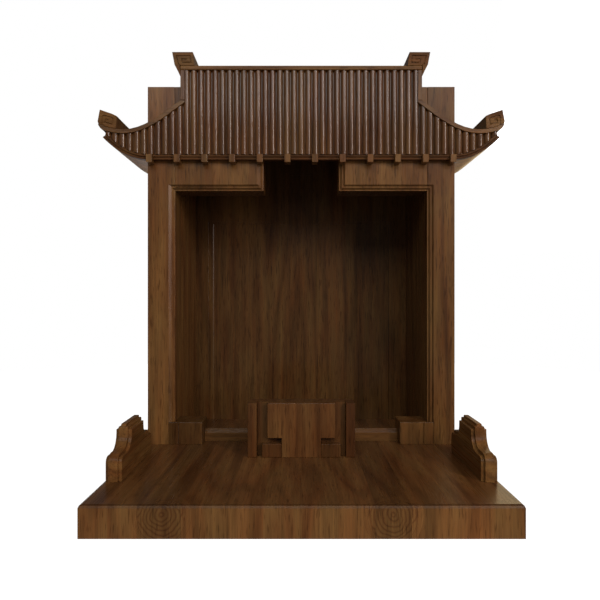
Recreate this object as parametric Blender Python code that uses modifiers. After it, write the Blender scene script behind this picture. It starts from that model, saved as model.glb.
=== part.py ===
# Household altar cabinet: a niche with a reeded, upturned roof front, standing on a broad base slab.
# Metres, +Z up. The origin is the bottom centre of the base slab, and the open front faces -Y.

import math

import bmesh
import bpy
from mathutils import Matrix, Vector

# Clearance between neighbouring pieces
JOINT_GAP = 0.0003

# Base slab
SLAB_WIDTH = 0.480
SLAB_DEPTH = 0.480
SLAB_HEIGHT = 0.0363
SLAB_CHAMFER = 0.0035

# Cabinet box, set in from the slab's edges
CABINET_INSET = 0.0068
CABINET_HEIGHT = 0.5434
CABINET_SETBACK = 0.2618
CABINET_REAR_INSET = 0.0143
BACK_THICKNESS = 0.018
TOP_THICKNESS = 0.018
EDGE_EASE = 0.0006

# Face frame and the moulding around its opening
FRAME_THICKNESS = 0.0486
STILE_WIDTH = 0.0409
HEAD_RAIL_HEIGHT = 0.0934
SPANDREL_HEIGHT = 0.064
NOTCH_WIDTH = 0.1152
MOULDING_WIDTH = 0.0090
MOULDING_INNER_WIDTH = 0.0045
MOULDING_DEPTH = 0.0020
MOULDING_INNER_DEPTH = 0.0042

# Shallow stepped field sunk in the back panel, which repeats the opening's outline
FIELD_SIDE_MARGIN = 0.0303
FIELD_HEAD_MARGIN = 0.0270
FIELD_NOTCH_WIDTH = 0.0440
FIELD_NOTCH_RISE = 0.0900
FIELD_BORDER = 0.0080
FIELD_DEPTH = 0.0008
FIELD_INNER_DEPTH = 0.0016

# Corner blocks and sill rail at the foot of the opening
BLOCK_HEIGHT = 0.0333
BLOCK_REACH = 0.0418
BLOCK_GROOVE_INSET = 0.0061
BLOCK_GROOVE_WIDTH = 0.0014
SILL_SETBACK = 0.0213
SILL_THICKNESS = 0.0120
SILL_HEIGHT = 0.0181
SILL_STEP_RISE = 0.0021
SILL_STEP_RUN = 0.0028

# Roof front: how far its lines stand above, below or beside the cabinet's top corners
ROOF_PROJECTION = 0.0133
ROOF_DEPTH = 0.1513
RIDGE_RISE = 0.0271
GABLE_INSET = 0.0522
BORDER_WIDTH = 0.0062
RIDGE_BACK_THICKNESS = 0.008
HIP_START_DROP = 0.0246
HIP_TIP_REACH = 0.0711
HIP_TIP_DROP = 0.0591
EAVE_DROP = 0.1128
EAVE_BAND = 0.0074
EAVE_FLAT_INSET = 0.0082
EAVE_TIP_REACH = 0.0653
EAVE_TIP_LIFT = 0.0336
EAVE_SETBACK = 0.0035
EAVE_GROOVE = 0.0011
EAVE_GROOVE_DEPTH = 0.0020

# Pulls that shape the two curved lines, measured from each line's start and end
HIP_START_PULL = (0.0320, -0.0223)
HIP_END_PULL = (-0.0533, -0.0268)
EAVE_START_PULL = (0.0290, 0.0)
EAVE_END_PULL = (-0.0225, -0.0232)
HIP_NOSE = (-0.0003, -0.0028)
HIP_CHIN = (-0.0033, -0.0073)
HIP_FOOT_INSET = 0.0068
CURVE_STEPS = 12

# Reeds
REED_PITCH = 0.01078
REED_FLAT = 0.0008
REED_SETBACK = 0.0015
REED_SIDES = 6

# Ridge finials, measured from the gable's top corner
RIDGE_FINIAL_RISE = 0.0203
RIDGE_FINIAL_REACH = 0.0123
RIDGE_FINIAL_WIDTH = 0.0310
RIDGE_FINIAL_FOOT = 0.0215
RIDGE_FINIAL_CHEEK = (0.0088, 0.0017)
RIDGE_FINIAL_JAW = (0.0038, -0.0080)
RIDGE_FINIAL_HOOK = 0.0155

# Eave finials, measured from the hip's tip
EAVE_FINIAL_TIP = (-0.0027, 0.0203)
EAVE_FINIAL_CREST = (-0.0207, 0.0142)
EAVE_FINIAL_INNER = (-0.0280, 0.0108)
EAVE_FINIAL_FOOT = 0.0268
EAVE_FINIAL_CHIN = (0.0006, 0.0030)
EAVE_FINIAL_CHEEK = (-0.0010, 0.0113)

# Square fret cut in the finials' fronts, its corners measured from the same points as the finials
FRET_WIDTH = 0.0015
FRET_DEPTH = 0.0013
RIDGE_FRET_X = (0.0007, 0.0030, 0.0042, 0.0060, -0.0145, -0.0154, -0.0159, -0.0030, -0.0021, -0.0097)
RIDGE_FRET_Z = (0.0004, 0.0025, 0.0078, 0.0146, 0.0151, 0.0089, 0.0047, 0.0047, 0.0097, 0.0097)
EAVE_FRET_X = (-0.0074, -0.0061, -0.0064, -0.0088, -0.0205, -0.0223, -0.0211, -0.0102, -0.0114, -0.0155)
EAVE_FRET_Z = (-0.0030, -0.0008, 0.0103, 0.0118, 0.0084, 0.0066, -0.0019, 0.0014, 0.0060, 0.0048)

# Rafter ends
RAFTER_COUNT = 12
RAFTER_MARGIN = 0.00605
RAFTER_WIDTH = 0.0088
RAFTER_REACH = 0.0040
RAFTER_HEIGHT = 0.0118
RAFTER_DROP = 0.0053

# Pedestal on the slab in front of the opening
PEDESTAL_WIDTH = 0.150
PEDESTAL_DEPTH = 0.0386
PEDESTAL_HEIGHT = 0.0754
PEDESTAL_SETBACK = 0.188
PEDESTAL_SIDE = 0.0127
PEDESTAL_RECESS_DEPTH = 0.011
PEDESTAL_RECESS_WIDTH = 0.0151
PEDESTAL_TONGUE_INSET = 0.020
PEDESTAL_TONGUE_HEIGHT = 0.0270
FOOT_REACH = 0.0077
FOOT_HEIGHT = 0.0191

# Side wings: stepped rails along the slab's left and right edges
WING_SETBACK = 0.076
WING_LENGTH = 0.147
WING_EDGE_DISTANCE = 0.0132
WING_BOARD = 0.0120
WING_LAYERED = 0.0199
WING_CREST = 0.0068
WING_HEIGHT = 0.0580
WING_CREST_RISE = 0.0036
WING_CREST_SETBACK = 0.0440
WING_INSET = 0.0040
WING_SHELF_HEIGHT = 0.0334
WING_SHOULDER = 0.0114
WING_STEP = 0.0413
WING_COVE = 0.0163
WING_ARC_STEPS = 5

# How finely outlines are welded, and the sharpest corner that a fret line mitres
WELD = 0.00002
MITRE_LIMIT = 0.5

# Places worked out from the sizes above
SLAB_HALF = SLAB_WIDTH / 2
SLAB_FRONT = -SLAB_DEPTH / 2
FLOOR = SLAB_HEIGHT
FACE = SLAB_FRONT + CABINET_SETBACK
FRAME_BACK = FACE + FRAME_THICKNESS
CABINET_BACK = -SLAB_FRONT - CABINET_REAR_INSET
CABINET_HALF = SLAB_HALF - CABINET_INSET
CABINET_TOP = FLOOR + CABINET_HEIGHT
OPENING_HALF = CABINET_HALF - STILE_WIDTH
NOTCH_HALF = NOTCH_WIDTH / 2
NOTCH_TOP = CABINET_TOP - HEAD_RAIL_HEIGHT
OPENING_TOP = NOTCH_TOP - SPANDREL_HEIGHT
BLOCK_TOP = FLOOR + BLOCK_HEIGHT
BLOCK_INNER = OPENING_HALF - BLOCK_REACH
ROOF_FRONT = FACE - ROOF_PROJECTION
ROOF_BACK = ROOF_FRONT + ROOF_DEPTH
PLATE_BACK = FACE - JOINT_GAP
RIDGE_TOP = CABINET_TOP + RIDGE_RISE
RIDGE_UNDER = RIDGE_TOP - BORDER_WIDTH
GABLE_HALF = CABINET_HALF - GABLE_INSET
GABLE_INNER = GABLE_HALF - BORDER_WIDTH
HIP_START = (GABLE_HALF, CABINET_TOP - HIP_START_DROP)
HIP_TIP = (CABINET_HALF + HIP_TIP_REACH, CABINET_TOP - HIP_TIP_DROP)
HIP_FOOT = HIP_TIP[0] - HIP_FOOT_INSET
EAVE_LEVEL = CABINET_TOP - EAVE_DROP
EAVE_START = (CABINET_HALF - EAVE_FLAT_INSET, EAVE_LEVEL)
EAVE_TIP = (CABINET_HALF + EAVE_TIP_REACH, EAVE_LEVEL + EAVE_TIP_LIFT)
REEDS_EACH_SIDE = int(HIP_TIP[0] / REED_PITCH)
PEDESTAL_FRONT_HALF = PEDESTAL_WIDTH / 2 - PEDESTAL_SIDE - PEDESTAL_RECESS_WIDTH
PEDESTAL_TONGUE_HALF = PEDESTAL_FRONT_HALF - PEDESTAL_TONGUE_INSET
WING_CENTRE = SLAB_HALF - WING_EDGE_DISTANCE

SIDES = {"left": -1, "right": 1}


def clear_scene():
    for item in list(bpy.data.objects):
        bpy.data.objects.remove(item, do_unlink=True)


def new_collection(name):
    group = bpy.data.collections.new(name)
    bpy.context.scene.collection.children.link(group)
    return group


def wood(name, colour, roughness):
    material = bpy.data.materials.new(name)
    material.use_nodes = True
    shader = material.node_tree.nodes["Principled BSDF"]
    shader.inputs["Base Color"].default_value = (*colour, 1.0)
    shader.inputs["Roughness"].default_value = roughness
    shader.inputs["Metallic"].default_value = 0.0
    return material


clear_scene()
CABINET = new_collection("household_altar_cabinet")
CUTTERS = new_collection("cutters")
WALNUT = (0.105, 0.050, 0.024)
GLOSS = 0.32


def add_piece(name, mesh, group=None):
    """Puts a mesh in the scene as one named piece with a material of its own."""
    piece = bpy.data.objects.new(name, mesh)
    (group or CABINET).objects.link(piece)
    if group is CUTTERS:
        piece.hide_render = True
        piece.display_type = "WIRE"
    else:
        mesh.materials.clear()
        mesh.materials.append(wood(name + "_walnut", WALNUT, GLOSS))
    return piece


def box(name, low, high, group=None):
    """A rectangular board between two corners."""
    shape = bmesh.new()
    bmesh.ops.create_cube(shape, size=1.0)
    size = [b - a for a, b in zip(low, high)]
    middle = [(a + b) / 2 for a, b in zip(low, high)]
    bmesh.ops.scale(shape, vec=size, verts=shape.verts)
    bmesh.ops.translate(shape, vec=middle, verts=shape.verts)
    mesh = bpy.data.meshes.new(name)
    shape.to_mesh(mesh)
    shape.free()
    return add_piece(name, mesh, group)


def outline(name, points, start, end, turn, group=None):
    """A flat outline of (u, v) points given a thickness from start to end along its normal.
    turn is a matrix that stands the outline's u, v and normal in the room."""
    curve = bpy.data.curves.new(name + "_outline", "CURVE")
    curve.dimensions = "2D"
    curve.fill_mode = "BOTH"
    curve.extrude = (end - start) / 2
    spline = curve.splines.new("POLY")
    spline.points.add(len(points) - 1)
    for place, (u, v) in zip(spline.points, points):
        place.co = (u, v, 0.0, 1.0)
    spline.use_cyclic_u = True
    drawn = bpy.data.objects.new(name + "_outline", curve)
    CUTTERS.objects.link(drawn)
    bpy.context.view_layer.update()
    graph = bpy.context.evaluated_depsgraph_get()
    mesh = bpy.data.meshes.new_from_object(drawn.evaluated_get(graph))
    bpy.data.objects.remove(drawn, do_unlink=True)
    mesh.name = name
    shape = bmesh.new()
    shape.from_mesh(mesh)
    bmesh.ops.remove_doubles(shape, verts=shape.verts, dist=WELD)
    lift = Matrix.Translation((0.0, 0.0, (start + end) / 2))
    bmesh.ops.transform(shape, matrix=turn @ lift, verts=shape.verts)
    bmesh.ops.recalc_face_normals(shape, faces=shape.faces)
    shape.to_mesh(mesh)
    shape.free()
    return add_piece(name, mesh, group)


# Outline u, v and normal along: X, Z, Y for a front view; Y, Z, X for a side view; X, Y, Z for a plan
FRONT_VIEW = Matrix(((1, 0, 0, 0), (0, 0, 1, 0), (0, 1, 0, 0), (0, 0, 0, 1)))
SIDE_VIEW = Matrix(((0, 0, 1, 0), (1, 0, 0, 0), (0, 1, 0, 0), (0, 0, 0, 1)))
PLAN = Matrix.Identity(4)


def combine(piece, other, operation):
    """Adds a Boolean of another object to a piece."""
    change = piece.modifiers.new(operation.lower() + "_" + other.name, "BOOLEAN")
    change.operation = operation
    change.solver = "EXACT"
    change.object = other


def ease_edges(piece, width, segments=1):
    """Breaks the sharp edges of a plain board."""
    bevel = piece.modifiers.new("eased_edges", "BEVEL")
    bevel.width = width
    bevel.segments = segments
    bevel.limit_method = "ANGLE"
    bevel.angle_limit = math.radians(50)


def bezier(a, b, c, d, steps):
    """Points of one cubic curve from a to d."""
    found = []
    for i in range(steps + 1):
        t = i / steps
        w = ((1 - t) ** 3, 3 * t * (1 - t) ** 2, 3 * t * t * (1 - t), t**3)
        found.append(tuple(sum(k * p[j] for k, p in zip(w, (a, b, c, d))) for j in (0, 1)))
    return found


def beside(points, distance):
    """The same line moved sideways, to its right when distance is positive."""
    moved = []
    for i, (x, z) in enumerate(points):
        before = points[max(i - 1, 0)]
        after = points[min(i + 1, len(points) - 1)]
        along = Vector((after[0] - before[0], after[1] - before[1])).normalized()
        moved.append((x + along.y * distance, z - along.x * distance))
    return moved


def mirrored(points, side):
    return [(x * side, z) for x, z in points]


def ribbon(points, width):
    """The outline of a line of even width with mitred corners."""
    left, right = [], []
    for i, point in enumerate(points):
        here = Vector(point)
        ahead = (Vector(points[min(i + 1, len(points) - 1)]) - here)
        behind = (here - Vector(points[max(i - 1, 0)]))
        ahead = ahead.normalized() if ahead.length else behind.normalized()
        behind = behind.normalized() if behind.length else ahead
        normal = Vector((-(ahead.y + behind.y), ahead.x + behind.x)).normalized()
        spread = width / 2 / max(normal.dot(Vector((-ahead.y, ahead.x))), MITRE_LIMIT)
        left.append(tuple(here + normal * spread))
        right.append(tuple(here - normal * spread))
    return left + right[::-1]


def base_slab():
    slab = box("base_slab", (-SLAB_HALF, SLAB_FRONT, 0.0), (SLAB_HALF, -SLAB_FRONT, SLAB_HEIGHT))
    weights = slab.data.attributes.new("bevel_weight_edge", "FLOAT", "EDGE")
    for edge in slab.data.edges:
        heights = [slab.data.vertices[v].co.z for v in edge.vertices]
        weights.data[edge.index].value = 1.0 if min(heights) > SLAB_HEIGHT / 2 else 0.0
    bevel = slab.modifiers.new("top_edge", "BEVEL")
    bevel.width = SLAB_CHAMFER
    bevel.segments = 2
    bevel.limit_method = "WEIGHT"


def cabinet_box():
    back_front = CABINET_BACK - BACK_THICKNESS
    bottom = FLOOR + JOINT_GAP
    top_under = CABINET_TOP - TOP_THICKNESS
    behind_frame = FRAME_BACK + JOINT_GAP
    for name, side in SIDES.items():
        inner, outer = sorted((side * OPENING_HALF, side * CABINET_HALF))
        panel = box(
            "side_panel_" + name,
            (inner, behind_frame, bottom),
            (outer, back_front - JOINT_GAP, top_under - JOINT_GAP),
        )
        ease_edges(panel, EDGE_EASE)
    back = box(
        "back_panel",
        (-CABINET_HALF, back_front, bottom),
        (CABINET_HALF, CABINET_BACK, top_under - JOINT_GAP),
    )
    ease_edges(back, EDGE_EASE)
    sink_back_field(back, back_front)
    top = box(
        "top_panel",
        (-CABINET_HALF, behind_frame, top_under),
        (CABINET_HALF, CABINET_BACK, CABINET_TOP),
    )
    ease_edges(top, EDGE_EASE)


def stepped_outline(half, shoulder, notch_half, head):
    """An opening with a narrow notch rising in the middle of its head, without its foot points."""
    return [
        (half, shoulder),
        (notch_half, shoulder),
        (notch_half, head),
        (-notch_half, head),
        (-notch_half, shoulder),
        (-half, shoulder),
    ]


def moulding_cutters():
    """Two steps sunk into the frame's face around the whole opening, the inner one deeper."""
    made = []
    steps = (
        ("outer", MOULDING_WIDTH, MOULDING_DEPTH),
        ("inner", MOULDING_INNER_WIDTH, MOULDING_INNER_DEPTH),
    )
    for name, width, depth in steps:
        wide = OPENING_HALF + width
        head = stepped_outline(wide, OPENING_TOP + width, NOTCH_HALF + width, NOTCH_TOP + width)
        points = [(-wide, BLOCK_TOP), (wide, BLOCK_TOP)] + head
        cutter = outline(
            "moulding_" + name, points, FACE - ROOF_PROJECTION, FACE + depth, FRONT_VIEW, CUTTERS
        )
        made.append(cutter)
    return made


def sink_back_field(back, front):
    """Two shallow steps sunk in the back panel's front, the inner one deeper."""
    steps = (
        ("outer", FIELD_BORDER, FIELD_DEPTH),
        ("inner", 0.0, FIELD_INNER_DEPTH),
    )
    for name, border, depth in steps:
        wide = OPENING_HALF - FIELD_SIDE_MARGIN + border
        shoulder = OPENING_TOP - FIELD_HEAD_MARGIN + border / 2
        narrow = FIELD_NOTCH_WIDTH / 2 + border
        head = stepped_outline(wide, shoulder, narrow, shoulder + FIELD_NOTCH_RISE)
        points = [(-wide, 0.0), (wide, 0.0)] + head
        cutter = outline(
            "field_" + name, points, front - BACK_THICKNESS, front + depth, FRONT_VIEW, CUTTERS
        )
        combine(back, cutter, "DIFFERENCE")


def face_frame():
    cutters = moulding_cutters()
    for name, side in SIDES.items():
        inner, outer = sorted((side * OPENING_HALF, side * CABINET_HALF))
        stile = box("stile_" + name, (inner, FACE, FLOOR + JOINT_GAP), (outer, FRAME_BACK, CABINET_TOP))
        seat_outer = side * (OPENING_HALF + MOULDING_WIDTH + JOINT_GAP)
        low_x, high_x = sorted((side * BLOCK_INNER, seat_outer))
        seat = box(
            "block_seat_" + name,
            (low_x, FACE - BLOCK_HEIGHT, 0.0),
            (high_x, FRAME_BACK + BLOCK_HEIGHT, BLOCK_TOP + JOINT_GAP),
            CUTTERS,
        )
        combine(stile, seat, "DIFFERENCE")
        near, far = sorted((side * NOTCH_HALF, side * (OPENING_HALF - JOINT_GAP)))
        spandrel = box(
            "spandrel_" + name, (near, FACE, OPENING_TOP), (far, FRAME_BACK, NOTCH_TOP - JOINT_GAP)
        )
        for cutter in cutters:
            combine(stile, cutter, "DIFFERENCE")
            combine(spandrel, cutter, "DIFFERENCE")
        corner_block(name, side)
    rail_half = OPENING_HALF - JOINT_GAP
    rail = box("head_rail", (-rail_half, FACE, NOTCH_TOP), (rail_half, FRAME_BACK, CABINET_TOP))
    for cutter in cutters:
        combine(rail, cutter, "DIFFERENCE")


def corner_block(name, side):
    low_x, high_x = sorted((side * BLOCK_INNER, side * (OPENING_HALF + MOULDING_WIDTH)))
    block = box(
        "corner_block_" + name,
        (low_x, FACE, FLOOR + JOINT_GAP),
        (high_x, FRAME_BACK, BLOCK_TOP),
    )
    centre = side * (OPENING_HALF - BLOCK_GROOVE_INSET)
    half = BLOCK_GROOVE_WIDTH / 2
    groove = box(
        "block_groove_" + name,
        (centre - half, FACE - BLOCK_HEIGHT, 0.0),
        (centre + half, FACE + BLOCK_GROOVE_WIDTH, CABINET_TOP),
        CUTTERS,
    )
    combine(block, groove, "DIFFERENCE")


def sill_rail():
    front = FACE + SILL_SETBACK
    back = front + SILL_THICKNESS
    top = FLOOR + SILL_HEIGHT
    low = FLOOR + JOINT_GAP
    points = [(back, low), (front, low)]
    for i in (2, 1, 0):
        edge = front + (2 - i) * SILL_STEP_RUN
        points.append((edge, top - i * SILL_STEP_RISE))
        if i:
            points.append((edge + SILL_STEP_RUN, top - i * SILL_STEP_RISE))
    points.append((back, top))
    half = BLOCK_INNER - JOINT_GAP
    outline("sill_rail", points, -half, half, SIDE_VIEW)


def pulled(point, pull):
    """A point moved by an offset."""
    return (point[0] + pull[0], point[1] + pull[1])


def hip_line():
    """The upper edge of the hip border, from the gable to the tip."""
    return bezier(
        HIP_START,
        pulled(HIP_START, HIP_START_PULL),
        pulled(HIP_TIP, HIP_END_PULL),
        HIP_TIP,
        CURVE_STEPS,
    )


def eave_line():
    """The lower edge of the eave, from its flat stretch to its tip."""
    return bezier(
        EAVE_START,
        pulled(EAVE_START, EAVE_START_PULL),
        pulled(EAVE_TIP, EAVE_END_PULL),
        EAVE_TIP,
        CURVE_STEPS,
    )


def level_at(line, x):
    """The height of a line at a given distance from the middle."""
    for (x0, z0), (x1, z1) in zip(line, line[1:]):
        if x0 <= x <= x1:
            return z0 + (z1 - z0) * (x - x0) / (x1 - x0)
    (x0, z0), (x1, z1) = line[:2] if x < line[0][0] else line[-2:]
    return z0 + (z1 - z0) * (x - x0) / (x1 - x0)


def stretch(line, first, last):
    """The part of a line between two distances from the middle, with its ends exactly there."""
    inner = [p for p in line if first < p[0] < last]
    return [(first, level_at(line, first))] + inner + [(last, level_at(line, last))]


def across(half_line):
    """A right half line continued over the middle to the left."""
    return [(-x, z) for x, z in half_line[::-1]] + half_line


def roof_front_panel():
    side_x = GABLE_INNER - JOINT_GAP
    top_line = stretch(beside(hip_line(), BORDER_WIDTH + JOINT_GAP), side_x, HIP_FOOT)
    bottom_line = beside(eave_line(), -(EAVE_BAND + JOINT_GAP))
    bottom_line = stretch(bottom_line, EAVE_START[0], HIP_FOOT)
    upper = [(side_x, RIDGE_UNDER - JOINT_GAP)] + top_line
    right = upper + bottom_line[::-1]
    points = right + [(-x, z) for x, z in right[::-1]]
    panel = outline(
        "roof_front_panel", points, ROOF_FRONT - ROOF_PROJECTION, FACE + ROOF_PROJECTION, FRONT_VIEW
    )
    combine(panel, reeded_board(), "INTERSECT")


def reeded_board():
    """A board as wide and tall as the roof, with half-round reeds over its whole front."""
    crest = ROOF_FRONT + REED_SETBACK
    radius = (REED_PITCH - REED_FLAT) / 2
    valley = crest + radius
    edge = (REEDS_EACH_SIDE + 1) * REED_PITCH
    plan = [(edge, PLATE_BACK), (-edge, PLATE_BACK), (-edge, valley)]
    for i in range(-REEDS_EACH_SIDE, REEDS_EACH_SIDE + 1):
        centre = i * REED_PITCH
        for k in range(REED_SIDES + 1):
            angle = math.pi * k / REED_SIDES
            plan.append((centre - radius * math.cos(angle), valley - radius * math.sin(angle)))
    plan.append((edge, valley))
    return outline("reeded_board", plan, FLOOR, RIDGE_TOP, PLAN, CUTTERS)


def eave_fascia():
    lower = eave_line()
    upper = beside(lower, -EAVE_BAND)
    points = across(lower) + across(upper)[::-1]
    fascia = outline("eave_fascia", points, ROOF_FRONT + EAVE_SETBACK, PLATE_BACK, FRONT_VIEW)
    middle = EAVE_BAND / 2
    low_edge = beside(extended(lower), -(middle - EAVE_GROOVE / 2))
    high_edge = beside(extended(lower), -(middle + EAVE_GROOVE / 2))
    groove = outline(
        "eave_groove",
        across(low_edge) + across(high_edge)[::-1],
        ROOF_FRONT - ROOF_PROJECTION,
        ROOF_FRONT + EAVE_SETBACK + EAVE_GROOVE_DEPTH,
        FRONT_VIEW,
        CUTTERS,
    )
    combine(fascia, groove, "DIFFERENCE")


def extended(line):
    """A line carried on past its last point, in its last direction."""
    (x0, z0), (x1, z1) = line[-2], line[-1]
    return line + [(x1 + (x1 - x0), z1 + (z1 - z0))]


def rafter_ends():
    front = ROOF_FRONT - RAFTER_REACH
    fascia_front = ROOF_FRONT + EAVE_SETBACK - JOINT_GAP
    top = EAVE_LEVEL - RAFTER_DROP + RAFTER_HEIGHT
    under_fascia = EAVE_LEVEL - JOINT_GAP
    bottom = EAVE_LEVEL - RAFTER_DROP
    side_outline = [
        (front, bottom),
        (PLATE_BACK, bottom),
        (PLATE_BACK, under_fascia),
        (fascia_front, under_fascia),
        (fascia_front, top),
        (front, top),
    ]
    first = RAFTER_MARGIN - CABINET_HALF
    pitch = -2 * first / (RAFTER_COUNT - 1)
    for i in range(RAFTER_COUNT):
        low_x = first + i * pitch - RAFTER_WIDTH / 2
        outline("rafter_end_%02d" % (i + 1), side_outline, low_x, low_x + RAFTER_WIDTH, SIDE_VIEW)


def ridge_and_gables():
    ridge = box(
        "ridge_board",
        (-GABLE_HALF, ROOF_FRONT, RIDGE_UNDER),
        (GABLE_HALF, ROOF_BACK, RIDGE_TOP),
    )
    ease_edges(ridge, EDGE_EASE)
    foot = HIP_START[1] + JOINT_GAP
    seat = CABINET_TOP + JOINT_GAP
    head = RIDGE_UNDER - JOINT_GAP
    side_outline = [
        (ROOF_FRONT, foot),
        (PLATE_BACK, foot),
        (PLATE_BACK, seat),
        (ROOF_BACK, seat),
        (ROOF_BACK, head),
        (ROOF_FRONT, head),
    ]
    for name, side in SIDES.items():
        low_x, high_x = sorted((side * GABLE_INNER, side * GABLE_HALF))
        outline("gable_board_" + name, side_outline, low_x, high_x, SIDE_VIEW)
    panel_half = GABLE_INNER - JOINT_GAP
    panel = box(
        "ridge_back_panel",
        (-panel_half, ROOF_BACK - RIDGE_BACK_THICKNESS, seat),
        (panel_half, ROOF_BACK, head),
    )
    ease_edges(panel, EDGE_EASE)


def cabinet_cutter():
    """The room that the cabinet box takes, which the roof's side pieces are cut around."""
    half = CABINET_HALF + JOINT_GAP
    return box(
        "cabinet_room",
        (-half, PLATE_BACK, 0.0),
        (half, ROOF_BACK + ROOF_DEPTH, CABINET_TOP),
        CUTTERS,
    )


def hips_and_flanks():
    room = cabinet_cutter()
    lower = stretch(beside(hip_line(), BORDER_WIDTH), GABLE_INNER, HIP_FOOT)
    nose = [pulled(HIP_TIP, HIP_NOSE), pulled(HIP_TIP, HIP_CHIN)]
    border = hip_line() + nose + lower[::-1] + [(GABLE_INNER, HIP_START[1])]
    wall_x = CABINET_HALF + JOINT_GAP
    roof_under = beside(hip_line(), BORDER_WIDTH + JOINT_GAP)
    eave = stretch(eave_line(), wall_x, EAVE_TIP[0])
    flank = eave + stretch(roof_under, wall_x, HIP_FOOT)[::-1]
    for name, side in SIDES.items():
        hip = outline("hip_border_" + name, mirrored(border, side), ROOF_FRONT, ROOF_BACK, FRONT_VIEW)
        combine(hip, room, "DIFFERENCE")
        outline("roof_flank_" + name, mirrored(flank, side), FACE, ROOF_BACK, FRONT_VIEW)


def fret_spiral(corner, across_by, up_by):
    """The outline of a fret line that winds inward, its corners measured from a corner."""
    path = [pulled(corner, step) for step in zip(across_by, up_by)]
    return ribbon(path, FRET_WIDTH)


def ridge_finials():
    top = RIDGE_TOP + RIDGE_FINIAL_RISE
    foot = RIDGE_TOP + JOINT_GAP
    corner = (GABLE_HALF, RIDGE_TOP)
    tip = (GABLE_HALF + RIDGE_FINIAL_REACH, top)
    inner_top = (tip[0] - RIDGE_FINIAL_WIDTH, top)
    inner_foot = (GABLE_HALF - RIDGE_FINIAL_FOOT, foot)
    outer_x = GABLE_HALF + JOINT_GAP
    hook = (outer_x, RIDGE_TOP - RIDGE_FINIAL_HOOK)
    cheek = pulled(corner, RIDGE_FINIAL_CHEEK)
    jaw = pulled(corner, RIDGE_FINIAL_JAW)
    points = [inner_top, inner_foot, (outer_x, foot), hook, jaw, cheek, tip]
    fret = fret_spiral(corner, RIDGE_FRET_X, RIDGE_FRET_Z)
    for name, side in SIDES.items():
        finial = outline(
            "ridge_finial_" + name, mirrored(points, side), ROOF_FRONT, ROOF_BACK, FRONT_VIEW
        )
        carve(finial, mirrored(fret, side))


def carve(piece, fret_points):
    cutter = outline(
        "fret_" + piece.name,
        fret_points,
        ROOF_FRONT - ROOF_PROJECTION,
        ROOF_FRONT + FRET_DEPTH,
        FRONT_VIEW,
        CUTTERS,
    )
    combine(piece, cutter, "DIFFERENCE")


def eave_finials():
    seat_line = beside(hip_line(), -JOINT_GAP)
    foot_x = HIP_TIP[0] - EAVE_FINIAL_FOOT
    seat = [(foot_x, level_at(seat_line, foot_x))] + [p for p in seat_line if p[0] > foot_x]
    inner = pulled(HIP_TIP, EAVE_FINIAL_INNER)
    tip = pulled(HIP_TIP, EAVE_FINIAL_TIP)
    outer = [pulled(HIP_TIP, EAVE_FINIAL_CHIN), pulled(HIP_TIP, EAVE_FINIAL_CHEEK)]
    points = [inner] + seat + outer + [tip, pulled(HIP_TIP, EAVE_FINIAL_CREST)]
    fret = fret_spiral(HIP_TIP, EAVE_FRET_X, EAVE_FRET_Z)
    for name, side in SIDES.items():
        finial = outline(
            "eave_finial_" + name, mirrored(points, side), ROOF_FRONT, ROOF_BACK, FRONT_VIEW
        )
        carve(finial, mirrored(fret, side))


def pedestal():
    front = SLAB_FRONT + PEDESTAL_SETBACK
    back = front + PEDESTAL_DEPTH
    bottom = FLOOR + JOINT_GAP
    top = FLOOR + PEDESTAL_HEIGHT
    recess = front + PEDESTAL_RECESS_DEPTH
    half = PEDESTAL_WIDTH / 2
    core_half = half - PEDESTAL_SIDE - JOINT_GAP
    core = box("pedestal_core", (-core_half, recess, bottom), (core_half, back, top))
    ease_edges(core, EDGE_EASE)
    tongue_top = FLOOR + PEDESTAL_TONGUE_HEIGHT
    points = [
        (-PEDESTAL_TONGUE_HALF, bottom),
        (PEDESTAL_TONGUE_HALF, bottom),
        (PEDESTAL_TONGUE_HALF, tongue_top),
        (PEDESTAL_FRONT_HALF, tongue_top),
        (PEDESTAL_FRONT_HALF, top),
        (-PEDESTAL_FRONT_HALF, top),
        (-PEDESTAL_FRONT_HALF, tongue_top),
        (-PEDESTAL_TONGUE_HALF, tongue_top),
    ]
    outline("pedestal_front", points, front, recess - JOINT_GAP, FRONT_VIEW)
    for name, side in SIDES.items():
        low_x, high_x = sorted((side * (half - PEDESTAL_SIDE), side * half))
        panel = box("pedestal_side_" + name, (low_x, front, bottom), (high_x, back, top))
        ease_edges(panel, EDGE_EASE)
        foot_inner = PEDESTAL_TONGUE_HALF + JOINT_GAP
        foot_outer = PEDESTAL_FRONT_HALF + FOOT_REACH
        low_x, high_x = sorted((side * foot_inner, side * foot_outer))
        foot = box(
            "pedestal_foot_" + name,
            (low_x, front, bottom),
            (high_x, recess - JOINT_GAP, FLOOR + FOOT_HEIGHT),
        )
        ease_edges(foot, EDGE_EASE)


def arc(centre, radius, first, last):
    """Points of a round stretch, angles in degrees."""
    found = []
    for i in range(WING_ARC_STEPS + 1):
        angle = math.radians(first + (last - first) * i / WING_ARC_STEPS)
        found.append((centre[0] + radius * math.cos(angle), centre[1] + radius * math.sin(angle)))
    return found


def wing_outline(inset):
    """The wing's stepped profile seen from the side, drawn in by an even border."""
    shoulder_centre = (WING_SHOULDER, WING_SHELF_HEIGHT - WING_SHOULDER)
    shoulder = arc(shoulder_centre, WING_SHOULDER - inset, 180, 90)
    cove_centre = (WING_STEP - WING_COVE, WING_SHELF_HEIGHT + WING_COVE)
    cove = arc(cove_centre, WING_COVE + inset, 270, 360)
    front = [(inset, 0.0)] + shoulder + cove + [(WING_STEP + inset, WING_HEIGHT - inset)]
    rear = [(WING_LENGTH - y, z) for y, z in front[::-1]]
    start = SLAB_FRONT + WING_SETBACK
    base = FLOOR + JOINT_GAP
    return [(start + y, base + z) for y, z in front + rear]


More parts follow.
